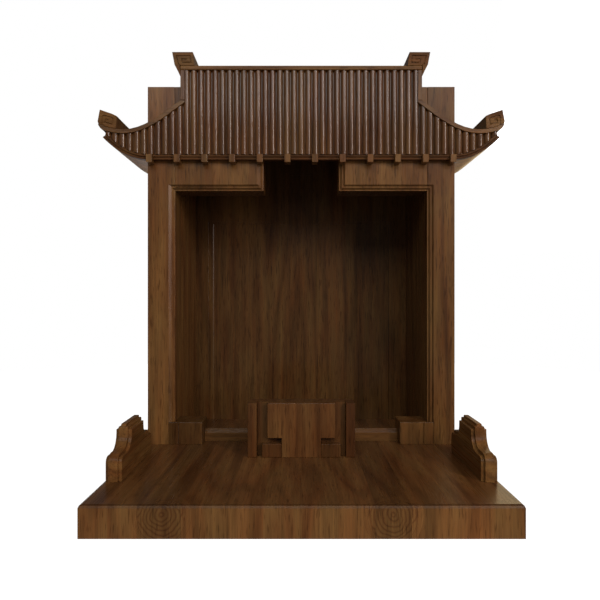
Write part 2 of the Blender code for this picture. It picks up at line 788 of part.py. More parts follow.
def wings():
    for name, side in SIDES.items():
        centre = side * WING_CENTRE
        half = WING_BOARD / 2
        board = outline("wing_" + name, wing_outline(0.0), centre - half, centre + half, SIDE_VIEW)
        half = WING_LAYERED / 2
        layer = outline(
            "wing_layer_" + name,
            wing_outline(WING_INSET),
            centre - half,
            centre + half,
            SIDE_VIEW,
            CUTTERS,
        )
        combine(board, layer, "UNION")
        start = SLAB_FRONT + WING_SETBACK
        crest_base = FLOOR + WING_HEIGHT - WING_INSET
        half = WING_CREST / 2
        crest = box(
            "wing_crest_" + name,
            (centre - half, start + WING_CREST_SETBACK, crest_base),
            (
                centre + half,
                start + WING_LENGTH - WING_CREST_SETBACK,
                FLOOR + WING_HEIGHT + WING_CREST_RISE,
            ),
            CUTTERS,
        )
        combine(board, crest, "UNION")


base_slab()
cabinet_box()
face_frame()
sill_rail()
roof_front_panel()
eave_fascia()
rafter_ends()
ridge_and_gables()
hips_and_flanks()
ridge_finials()
eave_finials()
pedestal()
wings()
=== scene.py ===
# %% [markdown]
# # A household altar cabinet in dark walnut
# The cabinet is a niche of thick boards on a broad slab. A reeded roof front with upturned tips is
# fixed across its head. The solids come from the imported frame, in metres, and stay where they are.
# This script gives them their crisp machined edges, their reeds and their lacquered walnut.

# %% Load the frame
import math

import bmesh
import bpy
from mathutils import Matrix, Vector


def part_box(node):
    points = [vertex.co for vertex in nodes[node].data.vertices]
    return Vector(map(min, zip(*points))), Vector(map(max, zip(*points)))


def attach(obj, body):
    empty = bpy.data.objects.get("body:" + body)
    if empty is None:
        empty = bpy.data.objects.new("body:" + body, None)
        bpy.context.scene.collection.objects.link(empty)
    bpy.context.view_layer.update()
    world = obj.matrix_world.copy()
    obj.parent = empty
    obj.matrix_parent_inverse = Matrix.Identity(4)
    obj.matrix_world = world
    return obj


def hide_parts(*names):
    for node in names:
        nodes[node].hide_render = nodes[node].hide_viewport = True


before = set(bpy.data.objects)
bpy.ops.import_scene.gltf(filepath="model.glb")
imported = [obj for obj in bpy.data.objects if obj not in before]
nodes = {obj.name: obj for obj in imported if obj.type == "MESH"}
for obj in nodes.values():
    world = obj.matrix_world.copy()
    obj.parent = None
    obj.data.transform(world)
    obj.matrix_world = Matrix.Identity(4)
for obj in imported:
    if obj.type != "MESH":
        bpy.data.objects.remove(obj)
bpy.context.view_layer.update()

print("boards in the frame:", len(nodes))

# %% [markdown]
# ## The camera
# The photograph looks straight at the cabinet from a little above the middle of its height. All
# lines that run front to back meet at the centre of the picture, so the camera has no tilt. Its
# distance was found from the slab: its front edge and the foot of the cabinet are of known depth.

# %% Camera
CAMERA_PLACE = (-0.0018, -0.8627, 0.2558)
CAMERA_LENS = 34.92

view = bpy.data.cameras.new("front_view")
view.lens = CAMERA_LENS
view.sensor_width = 36.0
view.clip_start = 0.01
camera = bpy.data.objects.new("front_view", view)
camera.location = CAMERA_PLACE
camera.rotation_euler = (math.radians(90), 0.0, 0.0)
bpy.context.scene.collection.objects.link(camera)
bpy.context.scene.camera = camera
print("camera height above the floor, mm:", round(CAMERA_PLACE[2] * 1000))

# %% [markdown]
# ## A helper for shader nodes
# The studio and the walnut are both built from shader nodes. This class only shortens the making
# and the joining of them. A value is written into a socket, and a socket is joined to it.

# %% Node helper
class Tree:
    """A short way to add and join shader nodes."""

    def __init__(self, owner):
        self.nodes = owner.node_tree.nodes
        self.links = owner.node_tree.links

    def set(self, socket, value):
        """Joins a socket to another one, or writes a plain value into it."""
        if isinstance(value, bpy.types.NodeSocket):
            self.links.new(value, socket)
        else:
            socket.default_value = value

    def add(self, kind, inputs=None, **settings):
        """A new node with its settings made and its inputs joined or written."""
        node = self.nodes.new(kind)
        for key, value in settings.items():
            setattr(node, key, value)
        for key, value in (inputs or {}).items():
            self.set(node.inputs[key], value)
        return node

    def sum(self, operation, *values):
        """One step of arithmetic."""
        node = self.add("ShaderNodeMath", operation=operation)
        for socket, value in zip(node.inputs, values):
            self.set(socket, value)
        return node.outputs["Value"]

    def ramp(self, factor, stops, steps="LINEAR"):
        """A band of colours that a factor picks from."""
        node = self.add("ShaderNodeValToRGB", {"Fac": factor})
        band = node.color_ramp
        band.interpolation = steps
        while len(band.elements) < len(stops):
            band.elements.new(0.5)
        for element, (place, colour) in zip(band.elements, stops):
            element.position = place
            element.color = (*colour, 1.0)
        return node.outputs["Color"]

    def mix(self, amount, first, second):
        """A value between two values."""
        return self.add("ShaderNodeMix", {0: amount, 2: first, 3: second}).outputs[0]

    def blend(self, kind, amount, first, second):
        """A colour made of two colours."""
        node = self.add("ShaderNodeMix", data_type="RGBA", blend_type=kind)
        for index, value in ((0, amount), (6, first), (7, second)):
            self.set(node.inputs[index], value)
        return node.outputs[2]


print("helper for shader nodes:", Tree.__name__)

# %% [markdown]
# ## A white studio
# The background is pure white. It shows again, as a pale sheen, on the underside of the eaves, but
# the flat boards that face the camera have almost no white veil. So the light comes up from a
# glowing floor behind the cabinet, and the room in front of it is dim. A warm wall far behind the
# right side is mirrored at the slab's right front corner. In the shaders below a camera ray always
# sees white, and every other ray sees the real brightness.

# %% Room
def new_piece(name, mesh):
    """Puts a mesh in the scene at the origin."""
    piece = bpy.data.objects.new(name, mesh)
    bpy.context.scene.collection.objects.link(piece)
    return piece


def white_to_camera(tree, brightness):
    """A strength that is one for camera rays and the given socket for all others."""
    camera_ray = tree.add("ShaderNodeLightPath").outputs["Is Camera Ray"]
    return tree.sum("MAXIMUM", brightness, camera_ray)


def fade_along(tree, axis, start, end, low, high):
    """A smooth change from low to high along one axis of the object or the sky."""
    place = tree.add("ShaderNodeTexCoord").outputs["Object"]
    along = tree.add("ShaderNodeSeparateXYZ", {"Vector": place}).outputs[axis]
    ends = {"Value": along, "From Min": start, "From Max": end, "To Min": low, "To Max": high}
    fade = tree.add("ShaderNodeMapRange", ends, interpolation_type="SMOOTHSTEP")
    return fade.outputs["Result"]


def studio_room():
    """A dim room, brighter below the horizon, with a warm wall behind the cabinet's right side."""
    room = bpy.data.worlds.new("studio_room")
    room.use_nodes = True
    tree = Tree(room)
    sky = tree.nodes["Background"]
    right = fade_along(tree, "X", *WALL_RIGHT_FROM, 0.0, WALL_GLOW)
    behind = fade_along(tree, "Y", *WALL_BEHIND_FROM, 0.0, 1.0)
    above = fade_along(tree, "Z", *WALL_UP_FROM, 0.0, 1.0)
    wall = tree.sum("MULTIPLY", right, behind)
    room_glow = fade_along(tree, "Z", *HORIZON, ROOM_LOW, ROOM_HIGH)
    glow = tree.sum("MULTIPLY_ADD", above, wall, room_glow)
    tree.set(sky.inputs["Strength"], white_to_camera(tree, glow))
    unseen = tree.sum("LESS_THAN", tree.add("ShaderNodeLightPath").outputs["Is Camera Ray"], 0.5)
    warmth = tree.sum("MULTIPLY", unseen, wall)
    tree.set(sky.inputs["Color"], tree.blend("MIX", warmth, WHITE, WALL_COLOUR))
    bpy.context.scene.world = room


def pale_floor():
    """A white floor that glows behind the cabinet."""
    shape = bmesh.new()
    bmesh.ops.create_circle(shape, cap_ends=True, radius=FLOOR_RADIUS, segments=96)
    mesh = bpy.data.meshes.new("floor")
    shape.to_mesh(mesh)
    shape.free()
    paint = bpy.data.materials.new("pale_floor")
    paint.use_nodes = True
    tree = Tree(paint)
    shader = tree.nodes["Principled BSDF"]
    shader.inputs["Base Color"].default_value = FLOOR_GREY
    shader.inputs["Roughness"].default_value = 0.9
    shader.inputs["Specular IOR Level"].default_value = 0.0
    shader.inputs["Emission Color"].default_value = WHITE
    glow = fade_along(tree, "Y", *FLOOR_FADE, FLOOR_DIM, FLOOR_GLOW)
    tree.set(shader.inputs["Emission Strength"], white_to_camera(tree, glow))
    mesh.materials.append(paint)
    floor = new_piece("floor", mesh)
    floor.location.z = -FLOOR_DROP


WHITE = (1.0, 1.0, 1.0, 1.0)
ROOM_HIGH = 0.09
ROOM_LOW = 0.30
HORIZON = (-0.25, 0.05)
WALL_GLOW = 1.8
WALL_COLOUR = (1.0, 0.78, 0.45, 1.0)
WALL_RIGHT_FROM = (0.285, 0.305)
WALL_BEHIND_FROM = (0.60, 0.90)
WALL_UP_FROM = (0.00, 0.15)
FLOOR_RADIUS = 1.6
FLOOR_DROP = 0.0005
FLOOR_GREY = (0.25, 0.25, 0.25, 1.0)
FLOOR_FADE = (-0.1, 0.5)
FLOOR_DIM = 0.05
FLOOR_GLOW = 1.1

bpy.context.scene.view_settings.view_transform = "Standard"
studio_room()
pale_floor()
print("world:", bpy.context.scene.world.name)

# %% [markdown]
# ## The lamps
# Each reed shows one thin pale line, a little to the right of its crest. That is the reflection of
# a narrow upright lamp at the front right. Its lower half is weaker, and the sloped facets of the
# left upright's moulding mirror it. The even light on the front comes from a wide lamp high above
# the camera, where the flat boards don't mirror it.

# %% Lamps
def lamp(name, place, target, width, height, watts, colour=(1.0, 1.0, 1.0)):
    """A soft lamp that faces a target."""
    light = bpy.data.lights.new(name, "AREA")
    light.shape = "RECTANGLE"
    light.size = width
    light.size_y = height
    light.energy = watts
    light.color = colour
    holder = bpy.data.objects.new(name, light)
    holder.location = place
    aim = Vector(target) - Vector(place)
    holder.rotation_euler = aim.to_track_quat("-Z", "Y").to_euler()
    bpy.context.scene.collection.objects.link(holder)


MIDDLE = (0.0, 0.0, 0.35)
STRIP_SIZE = (0.36, 0.75)
lamp("strip", (1.55, -2.25, 1.28), MIDDLE, *STRIP_SIZE, 19.0, (1.0, 0.88, 0.82))
lamp("low_strip", (1.55, -2.25, 0.53), MIDDLE, *STRIP_SIZE, 7.0, (1.0, 0.85, 0.78))
lamp("high_front", (-0.1, -2.5, 2.0), (0.0, 0.0, 0.3), 2.6, 1.3, 37.0)
print("lamps:", len(bpy.data.lights))

# %% [markdown]
# ## Walnut, layer by layer
# Walnut has four scales of detail. Broad clouds drift from red to olive brown. Growth rings make
# long arches where the saw has cut them at a slant: they are the contour lines of a slow noise that
# is stretched along the grain, so a sine of that noise draws them. Fine fibres make streaks, and
# open pores make short dark dashes that also dent the lacquer. All of it reads Object coordinates.
# The three colours below are the lightest, the reddest and the darkest that the wood blends.

# %% Walnut's colours
WARM = (0.170, 0.066, 0.0190)
OLIVE = (0.190, 0.095, 0.0290)
DARK = (0.075, 0.029, 0.0085)
print("lightest walnut:", OLIVE)

# %% [markdown]
# The layers are laid over each other in one function. It takes the place on the board, with the
# grain along Z, and the tone, which makes a board lighter or darker. The figure is how strong the
# rings are. The lacquer has a low gloss, which the fibres vary a little. The gloss is the weight of
# its clear coat, and the shine is the mirror strength of the wood below it.

# %% The layers
def stretched(tree, board, squeeze):
    """The place on the board, squeezed along the grain so that a noise there is long."""
    turned = tree.add("ShaderNodeMapping", {"Vector": board, "Scale": (1.0, 1.0, squeeze)})
    return turned.outputs["Vector"]


def grain_layers(tree, board, tone, rings, figure):
    """Walnut's colour and pores. board is the place with the grain along Z, in metres."""

    def noise(squeeze, scale, detail, rough=0.5):
        along = stretched(tree, board, squeeze)
        return tree.add(
            "ShaderNodeTexNoise",
            {"Vector": along, "Scale": scale, "Detail": detail, "Roughness": rough},
        ).outputs["Fac"]

    fibre = noise(0.020, 420.0, 3.0, 0.7)
    streak = noise(0.075, 80.0, 3.0, 0.65)
    cloud = noise(0.24, 34.0, 3.0, 0.6)
    pore = noise(0.09, 560.0, 1.0)
    hue = tree.ramp(cloud, [(0.38, WARM), (0.62, OLIVE)])
    lines = [(0.0, DARK), (0.30, WARM), (1.0, OLIVE)]
    wood = tree.blend("MIX", figure, hue, tree.ramp(rings, lines))
    bands = [(0.28, (0.52, 0.49, 0.46)), (0.5, (0.96, 0.96, 0.96)), (0.72, (1.30, 1.32, 1.30))]
    wood = tree.blend("MULTIPLY", 0.8, wood, tree.ramp(streak, bands))
    fine = [(0.25, (0.66, 0.64, 0.62)), (0.5, (1.0, 1.0, 1.0)), (0.75, (1.22, 1.22, 1.18))]
    wood = tree.blend("MULTIPLY", 0.8, wood, tree.ramp(fibre, fine))
    dashes = tree.ramp(pore, [(0.30, (0.50, 0.46, 0.43)), (0.42, (1.0, 1.0, 1.0))])
    wood = tree.blend("MULTIPLY", 0.8, wood, dashes)
    return tree.blend("MULTIPLY", 1.0, wood, tone), dashes, fibre


def arches(tree, board, squeeze=0.10, scale=15.0, count=42.0):
    """Growth rings cut at a slant: contour lines of a slow noise."""
    slow = tree.add(
        "ShaderNodeTexNoise",
        {"Vector": stretched(tree, board, squeeze), "Scale": scale, "Detail": 1.6, "Roughness": 0.35},
    ).outputs["Fac"]
    return tree.sum("MULTIPLY", slow, count)


def ring_lines(tree, height):
    """Turns a height into lines, from 0 in a line to 1 between them."""
    return tree.sum("MULTIPLY_ADD", tree.sum("SINE", height), 0.5, 0.5)


def lacquer(tree, gloss, shine, colour, dashes, fibre):
    """A thin satin lacquer over the coloured wood."""
    shader = tree.nodes["Principled BSDF"]
    satin = {"Value": fibre, "From Min": 0.25, "From Max": 0.75, "To Min": 0.34, "To Max": 0.24}
    satin = tree.add("ShaderNodeMapRange", satin).outputs["Result"]
    dents = tree.add("ShaderNodeBump", {"Strength": 0.1, "Distance": 0.0003, "Height": dashes})
    tree.set(shader.inputs["Base Color"], colour)
    tree.set(shader.inputs["Roughness"], satin)
    tree.set(shader.inputs["Normal"], dents.outputs["Normal"])
    shader.inputs["Specular IOR Level"].default_value = shine
    shader.inputs["Coat Weight"].default_value = gloss
    shader.inputs["Coat Roughness"].default_value = 0.10
    shader.inputs["Coat IOR"].default_value = 1.35


print("layers of the walnut: clouds, rings, streaks, fibres and pores")

# %% [markdown]
# ## One walnut for each board
# Each board gets its own copy of the wood. A Mapping node turns the grain to the board's length and
# slides the pattern, so that no two neighbouring boards match, as real boards don't. A painted shade
# below one darkens the faces that look down, and the sloped facets of a moulding that look left.

# %% Walnut for a board
RIGHT_ANGLE = math.radians(90)
GRAIN_TURN = {"Z": (0.0, 0.0, 0.0), "X": (0.0, RIGHT_ANGLE, 0.0), "Y": (RIGHT_ANGLE, 0.0, 0.0)}
FIGURE = 0.4
# Painted shade on facets: how far a face must lean to be darkened, and the most that it may lean.
SHADE_LEAN_FROM = 0.40
SHADE_LEAN_TO = {"X": 0.8, "Z": 1.1}


def face_direction(tree):
    """The three parts of the direction that a face looks in."""
    facing = tree.add("ShaderNodeNewGeometry").outputs["Normal"]
    return tree.add("ShaderNodeSeparateXYZ", {"Vector": facing}).outputs


def stained_facets(tree, colour, stain):
    """Paints shade on facets that look left, but no whole left sides, and on all faces that look down.
    """
    facing = face_direction(tree)
    # Painted shade: faces that get little light are multiplied darker.
    for axis, most in SHADE_LEAN_TO.items():
        lean = tree.sum("MULTIPLY", facing[axis], -1.0)
        enough = tree.sum("GREATER_THAN", lean, SHADE_LEAN_FROM)
        sloped = tree.sum("MULTIPLY", enough, tree.sum("LESS_THAN", lean, most))
        colour = tree.blend("MULTIPLY", sloped, colour, (stain, stain, stain, 1.0))
    return colour


def walnut(name, grain, slide, tone=1.0, red=1.0, gloss=0.16, shine=0.18, stain=1.0):
    """Walnut with straight grain along one axis. A red below one turns it to red brown."""
    material = bpy.data.materials.new(name)
    material.use_nodes = True
    tree = Tree(material)
    place = tree.add("ShaderNodeTexCoord").outputs["Object"]
    turned = tree.add("ShaderNodeMapping", {"Vector": place, "Rotation": GRAIN_TURN[grain]})
    board = tree.add("ShaderNodeMapping", {"Vector": turned.outputs["Vector"], "Location": slide})
    board = board.outputs["Vector"]
    rings = ring_lines(tree, arches(tree, board))
    colour = stained_facets(tree, (tone, tone * red, tone * red, 1.0), stain)
    lacquer(tree, gloss, shine, *grain_layers(tree, board, colour, rings, FIGURE))
    return material


print("grain directions:", ", ".join(GRAIN_TURN))

# %% [markdown]
# ## The slab's walnut
# The slab is glued up from staves that run front to back, each with its own tone. Their grain turns
# over the front edge and runs down it, and on two staves it circles round an eye there. So the
# pattern is laid out flat: across is x, and along is y plus the drop below the top. On the slab's
# left and right faces, across is the height instead. A stepped colour ramp gives each stave its
# tone and its place in the noise, and near an eye the ring height is the distance from its centre.
# The front is painted lighter and the eased edge above it darker: painted light and painted shade
# that stand in for how the studio lights them.

# %% Staves and eyes
STAVES = [
    (-0.2400, 1.00), (-0.2094, 0.94), (-0.1770, 0.70), (-0.1302, 0.92),
    (-0.0810, 1.12), (-0.0425, 0.95), (-0.0018, 0.90), (0.0378, 1.02),
    (0.0774, 0.72), (0.1180, 1.00), (0.1598, 1.10), (0.2015, 1.04),
]
STAVE_SHIFT = 0.37
STAVE_SPREAD = 5.0
SLAB_FIGURE = 0.42
SLAB_GLOSS = 0.05
SLAB_SHINE = 0.18
SLAB_RED = 0.92
LOOKS_SIDEWAYS = 0.7
LOOKS_FORWARD = 0.9
LOOKS_UP_AND_FORWARD = 0.3
# Painted light on the slab's front, and painted shade on its eased edge:
FRONT_PAINTED_LIGHT = 0.37
FRONT_LESS_RED = 0.07
EASED_PAINTED_SHADE = -0.45
EYES = [(-0.1505, -0.2505), (0.0982, -0.2505)]
EYE_REACH = 0.033
EYE_RING = 0.0047
EYE_SQUASH = 0.85
EYE_WAVER = 22.0
EYE_FIGURE = 0.12


def laid_flat(tree, sideways):
    """The place on the slab across its staves, and along them and down the front edge."""
    place = tree.add("ShaderNodeTexCoord").outputs["Object"]
    place = tree.add("ShaderNodeSeparateXYZ", {"Vector": place}).outputs
    slab_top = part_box("base_slab")[1][2]
    folded = tree.sum("ADD", place["Y"], tree.sum("SUBTRACT", place["Z"], slab_top))
    across = tree.mix(sideways, place["X"], place["Z"])
    along = tree.mix(sideways, folded, place["Y"])
    return across, along


def tone_and_seed(tree, across):
    """Each stave's own tone, and its own place in the noise."""
    width = STAVES[0][0] * -2
    stops = []
    for number, (edge, shade) in enumerate(STAVES):
        stops.append((0.5 + edge / width, (shade / 2, (number * STAVE_SHIFT) % 1.0, 0.0)))
    where = tree.sum("MULTIPLY_ADD", across, 1 / width, 0.5)
    stave = tree.add("ShaderNodeSeparateColor", {"Color": tree.ramp(where, stops, "CONSTANT")}).outputs
    seed = tree.sum("MULTIPLY", stave["Green"], STAVE_SPREAD)
    return tree.sum("MULTIPLY", stave["Red"], 2.0), seed


def eye_rings(tree, across, along, eye, waver):
    """How near a place is to an eye, and the height that draws the rings round it."""
    off_across = tree.sum("SUBTRACT", across, eye[0])
    off_along = tree.sum("MULTIPLY", tree.sum("SUBTRACT", along, eye[1]), EYE_SQUASH)
    squares = [tree.sum("POWER", off, 2.0) for off in (off_across, off_along)]
    reach = tree.sum("SQRT", tree.sum("ADD", *squares))
    edge = {"Value": reach, "From Min": EYE_REACH, "From Max": EYE_REACH * 0.75}
    near = tree.add("ShaderNodeMapRange", edge, interpolation_type="SMOOTHSTEP").outputs["Result"]
    rings = tree.sum("MULTIPLY", reach, 2 * math.pi / EYE_RING)
    return near, tree.sum("MULTIPLY_ADD", waver, EYE_WAVER, rings)


def slab_walnut(name, tone):
    """Walnut staves whose grain folds over the front edge."""
    material = bpy.data.materials.new(name)
    material.use_nodes = True
    tree = Tree(material)
    facing = face_direction(tree)
    sideways = tree.sum("GREATER_THAN", tree.sum("ABSOLUTE", facing["X"]), LOOKS_SIDEWAYS)
    across, along = laid_flat(tree, sideways)
    stave, seed = tone_and_seed(tree, across)
    board = tree.add("ShaderNodeCombineXYZ", {"X": across, "Y": seed, "Z": along}).outputs["Vector"]
    height = arches(tree, board, squeeze=0.16, scale=17.0, count=36.0)
    figure = SLAB_FIGURE
    waver = tree.add("ShaderNodeTexNoise", {"Vector": board, "Scale": 42.0, "Detail": 2.5})
    for eye in EYES:
        near, bent = eye_rings(tree, across, along, eye, waver.outputs["Fac"])
        figure = tree.sum("MULTIPLY_ADD", near, EYE_FIGURE, figure)
        height = tree.mix(near, height, bent)
    forward = tree.sum("MULTIPLY", facing["Y"], -1.0)
    front = tree.sum("GREATER_THAN", forward, LOOKS_FORWARD)
    forward_up = tree.sum("MULTIPLY", forward, facing["Z"])
    eased = tree.sum("GREATER_THAN", forward_up, LOOKS_UP_AND_FORWARD)
    # Painted light on the front face and painted shade on the eased edge.
    light = tree.sum("MULTIPLY_ADD", front, FRONT_PAINTED_LIGHT, 1.0)
    light = tree.sum("MULTIPLY_ADD", eased, EASED_PAINTED_SHADE, light)
    shade = tree.sum("MULTIPLY", tree.sum("MULTIPLY", stave, tone), light)
    dull = tree.sum("MULTIPLY", shade, tree.sum("MULTIPLY_ADD", front, FRONT_LESS_RED, SLAB_RED))
    colour = tree.add("ShaderNodeCombineColor", {"Red": shade, "Green": dull, "Blue": dull})
    layers = grain_layers(tree, board, colour.outputs["Color"], ring_lines(tree, height), figure)
    lacquer(tree, SLAB_GLOSS, SLAB_SHINE, *layers)
    return material


print("staves:", len(STAVES), "eyes:", len(EYES))

# %% [markdown]
# ## Machined boards
# A real board has small rounded edges that catch the light, and a fine dark line where it meets
# the next one. The frame's solids have sharp edges and loose triangles. A copy of each is merged,
# its flat faces are joined again, and a Bevel modifier rounds what is left. The rounding is
# narrow, under a millimetre, because a wider one would make the joints look soft. A board that
# stands on the slab is let down by the width of the joint's gap, so that no light shows under it.
# Flat boards are shaded flat, because smooth shading tilts the light over their big faces. Bent
# boards are shaded smooth where their faces meet at less than twenty degrees.

# %% From a solid to a finished board
GAP = 0.0003
ROUNDING = 0.0005
TOUCH = 0.00005
MERGE = 0.00001
SMOOTH_BELOW = math.radians(20)
ROUND_ABOVE = math.radians(30)
FLAT_BELOW = math.radians(0.5)


def same(length, other):
    """True where two lengths are the same but for the last digits."""
    return abs(length - other) < TOUCH


def clean_shape(node):
    """A merged copy of a frame node's mesh with its flat faces joined."""
    shape = bmesh.new()
    shape.from_mesh(nodes[node].data)
    bmesh.ops.remove_doubles(shape, verts=shape.verts, dist=MERGE)
    bmesh.ops.dissolve_limit(shape, angle_limit=FLAT_BELOW, verts=shape.verts, edges=shape.edges)
    return shape


def close_gap(shape):
    """Lets the foot of a board down on the slab."""
    slab_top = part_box("base_slab")[1][2]
    for corner in shape.verts:
        if same(corner.co.z, slab_top + GAP):
            corner.co.z = slab_top


def as_piece(shape, name):
    """Turns a shape in work into a piece in the scene."""
    mesh = bpy.data.meshes.new(name)
    shape.to_mesh(mesh)
    shape.free()
    return new_piece(name, mesh)


def round_edges(piece, rounding):
    """Rounds the sharp edges of a piece."""
    bevel = piece.modifiers.new("rounded_edges", "BEVEL")
    bevel.width = rounding
    bevel.segments = 2
    bevel.limit_method = "ANGLE"
    bevel.angle_limit = ROUND_ABOVE
    bevel.use_clamp_overlap = True


def bake_down(piece):
    """Turns a piece with modifiers into a plain mesh."""
    graph = bpy.context.evaluated_depsgraph_get()
    mesh = bpy.data.meshes.new_from_object(piece.evaluated_get(graph))
    piece.modifiers.clear()
    piece.data = mesh


def hand_over(piece, material, *replaced, curved=False):
    """Gives a finished piece its wood and puts it in its nodes' place."""
    mesh = piece.data
    mesh.shade_flat()
    if curved:
        mesh.shade_smooth()
        mesh.set_sharp_from_angle(angle=SMOOTH_BELOW)
    mesh.materials.clear()
    mesh.materials.append(material)
    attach(piece, "root")
    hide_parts(*replaced)


def finish_board(node, material, rounding, reshape=None, curved=False):
    """Rounds the edges of one board, gives it its wood and puts it in the node's place."""
    shape = clean_shape(node)
    close_gap(shape)
    if reshape:
        reshape(shape)
    piece = as_piece(shape, node + "_board")
    if rounding:
        round_edges(piece, rounding)
    bake_down(piece)
    hand_over(piece, material, node, curved=curved)


def walnut_board(
    node, grain, slide, tone=1.0, rounding=ROUNDING, reshape=None, curved=False, **finish
):
    """Makes one board of its own walnut. The finish may name its red, gloss, shine and painted shade.
    """
    wood = walnut(node + "_wood", grain, slide, tone, **finish)
    finish_board(node, wood, rounding, reshape, curved)


print("joint gap, mm:", round(GAP * 1000, 1))

# %% [markdown]
# ## The moulding round the opening
# The solids have two square steps round the opening. On the real frame each step is a sloped
# facet, which is dark under the head and catches the lamp on the left upright. The foot of each
# step is moved towards the opening, and the facets meet in clean mitres by themselves. The outer
# facet is flatter on the left, where it mirrors the strip lamp. Each step below has its distance
# from the opening, its depth, its run, and its run on the left. The back panel's sunk field has
# one such facet at each side.

# %% Slope the two steps
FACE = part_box("stile_left")[0][1]
OPENING_X = -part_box("stile_left")[1][0]
OPENING_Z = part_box("spandrel_left")[0][2]
NOTCH_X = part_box("spandrel_right")[0][0]
NOTCH_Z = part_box("head_rail")[0][2]
STEPS = [(0.0090, 0.0020, 0.0026, 0.0037), (0.0045, 0.0042, 0.0028, 0.0028)]
PANEL_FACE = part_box("back_panel")[0][1]
FIELD_INSET = 0.0303
FIELD_X = OPENING_X - FIELD_INSET
FIELD_DEPTH = 0.0016
FIELD_RUN = 0.0018


def slope_moulding(shape):
    """Moves the foot of each step towards the opening."""
    for width, depth, run, left_run in STEPS:
        feet = [corner.co for corner in shape.verts if same(corner.co.y, FACE + depth)]
        for place in feet:
            if any(same(abs(place.x), edge + width) for edge in (OPENING_X, NOTCH_X)):
                place.x += left_run if place.x < 0 else -run
            if any(same(place.z, edge + width) for edge in (OPENING_Z, NOTCH_Z)):
                place.z -= run


def slope_field(shape):
    """Gives the back panel's sunk field a sloped edge."""
    for corner in shape.verts:
        place = corner.co
        if same(place.y, PANEL_FACE + FIELD_DEPTH) and abs(abs(place.x) - FIELD_X) < 2 * TOUCH:
            place.x -= math.copysign(FIELD_RUN, place.x)


def close_sides(shape):
    """Widens the pedestal's core by the gap, so that it touches the sides."""
    for corner in shape.verts:
        corner.co.x += math.copysign(GAP, corner.co.x)


print("opening half width, mm:", round(OPENING_X * 1000, 1))

# %% [markdown]
# ## The slab and the niche
# All the upright boards have upright grain. The rail at the foot runs across. The boards inside the
# niche are toned darker than the face frame, as painted shade, and the left side panel lighter than
# the right one, as painted light and painted shade.

# %% Slab, cabinet and face frame
SLAB_TONE = 0.87
# The back panel's and the right side panel's low tones are painted shade; the left side panel's high
# tone is painted light.
UPRIGHT = {
    "side_panel_left": ((0.31, 0.12, 0.2), 1.12),
    "side_panel_right": ((-0.42, 0.27, 0.9), 0.70),
    "back_panel": ((0.04, -0.41, 0.35), 0.58),
    "stile_left": ((0.27, 0.05, 1.3), 1.04),
    "stile_right": ((-0.26, 0.07, 1.9), 0.84),
    "spandrel_left": ((0.17, 0.11, 2.4), 1.00),
    "spandrel_right": ((-0.14, 0.09, 2.9), 1.02),
    "head_rail": ((0.02, 0.13, 3.3), 1.0),
    "corner_block_left": ((0.35, 0.02, 3.8), 0.55),
    "corner_block_right": ((-0.31, 0.06, 4.2), 0.90),
}
RESHAPED = {
    "stile": slope_moulding, "spandrel": slope_moulding, "head": slope_moulding, "back": slope_field,
}

finish_board("base_slab", slab_walnut("slab_wood", SLAB_TONE), rounding=0.0)
for board, (slide, tone) in UPRIGHT.items():
    reshape = RESHAPED.get(board.split("_")[0])
    # The uprights get painted shade on their downward faces and left-looking facets.
    walnut_board(board, "Z", slide, tone, reshape=reshape, gloss=0.08, stain=0.58)
walnut_board("top_panel", "X", (0.2, 0.3, 0.5), rounding=0.0008)
walnut_board("sill_rail", "X", (0.12, 0.05, 0.9), 0.85, rounding=0.0004)
print("upright boards:", len(UPRIGHT))

# %% [markdown]
# ## The reeds
# The roof front is a board whose face is worked into upright reeds, side by side like roof tiles.
# They repeat at one pitch and end on curved lines at the hips and the eave. A tree of Geometry
# Nodes does the same as the shop: it sets round reeds in a row, joins them to a board, and cuts
# both to the outline. The outline is the flat back of the frame's solid, pushed forward to the
# reeds' crests, and it is the mesh that the tree starts from.

